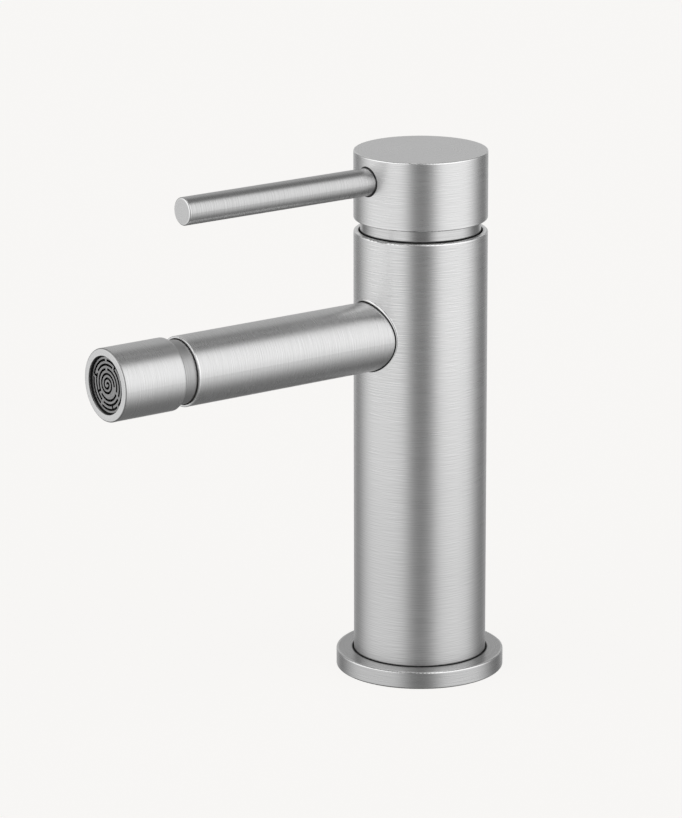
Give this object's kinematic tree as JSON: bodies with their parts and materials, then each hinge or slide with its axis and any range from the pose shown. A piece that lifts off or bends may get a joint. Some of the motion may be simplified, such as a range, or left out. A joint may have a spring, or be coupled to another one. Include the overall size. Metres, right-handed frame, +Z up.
{
  "type": "bidet mixer",
  "caption": "Deck-mounted single-lever bidet mixer: a round brushed steel column on a flange, with a pin lever on its cap and a straight spout that ends in a swivelling nozzle.",
  "frame": {"origin": "centre of the underside of the base, on the deck and on the column's axis", "axes": "+Z up the column's axis, -Y along the spout and the lever, +X to the cold side"},
  "size_m": [0.057, 0.1552, 0.18],
  "materials": {
    "brushed_steel": "stainless steel, brushed round each turned piece, satin",
    "plain_steel": "plain turned stainless steel",
    "ball_chrome": "polished chrome",
    "grille": "fine matt steel",
    "brass": "machined brass",
    "rubber": "black moulded rubber",
    "ceramic": "lapped white alumina",
    "grey_plastic": "dark grey acetal",
    "white_plastic": "natural acetal"
  },
  "bodies": {
    "column": {"column_sleeve": "brushed_steel", "base_flange": "brushed_steel", "base_gasket": "rubber", "base_plug": "brass", "valve_core": "brass", "hot_inlet_connector": "brass", "cold_inlet_connector": "brass", "inlet_washers": "rubber", "cartridge_base": "white_plastic", "cartridge_port_seals": "rubber", "cartridge_housing": "grey_plastic", "fixed_disc": "ceramic", "cartridge_nut": "brass", "neck_ring": "brushed_steel", "spout_tube": "brushed_steel", "spout_seal": "rubber", "mouth_adapter": "brass", "adapter_seal": "rubber", "swivel_ball": "ball_chrome"},
    "rotor": {"cartridge_rotor": "white_plastic", "pivot_pin": "plain_steel"},
    "mixing_disc": {"disc_carrier": "grey_plastic", "moving_disc": "ceramic"},
    "handle": {"cartridge_stem": "plain_steel", "handle_cap": "brushed_steel", "stem_grub_screw": "plain_steel", "lever_rod": "brushed_steel", "lever_ring": "rubber"},
    "ball_cup": {"ball_liner": "white_plastic"},
    "nozzle": {"nozzle_shell": "brushed_steel", "ball_retainer": "brass", "ball_seal": "rubber", "aerator_washer": "rubber", "aerator_housing": "grey_plastic", "aerator_screens": "plain_steel", "aerator_face": "grille"}
  },
  "joints": [
    {"name": "handle_turn", "type": "hinge", "parent": "column", "child": "rotor", "pos_m": [0, 0, 0.1524], "axis": [0, 0, 1], "range_deg": [-50, 50]},
    {"name": "handle_lift", "type": "hinge", "parent": "rotor", "child": "handle", "pos_m": [0, 0, 0.1524], "axis": [-1, 0, 0], "range_deg": [0, 10]},
    {"name": "disc_slide", "type": "slide", "parent": "rotor", "child": "mixing_disc", "axis": [0, -1, 0], "range_m": [0, 0.0015]},
    {"name": "nozzle_pan", "type": "hinge", "parent": "column", "child": "ball_cup", "pos_m": [0, -0.0996, 0.119], "axis": [0, 0, 1], "range_deg": [-15, 15]},
    {"name": "nozzle_tilt", "type": "hinge", "parent": "ball_cup", "child": "nozzle", "pos_m": [0, -0.0996, 0.119], "axis": [1, 0, 0], "range_deg": [-15, 15]}
  ],
  "couplings": [
    {"joint": "disc_slide", "follows": "handle_lift", "m_per_rad": 0.0085}
  ]
}
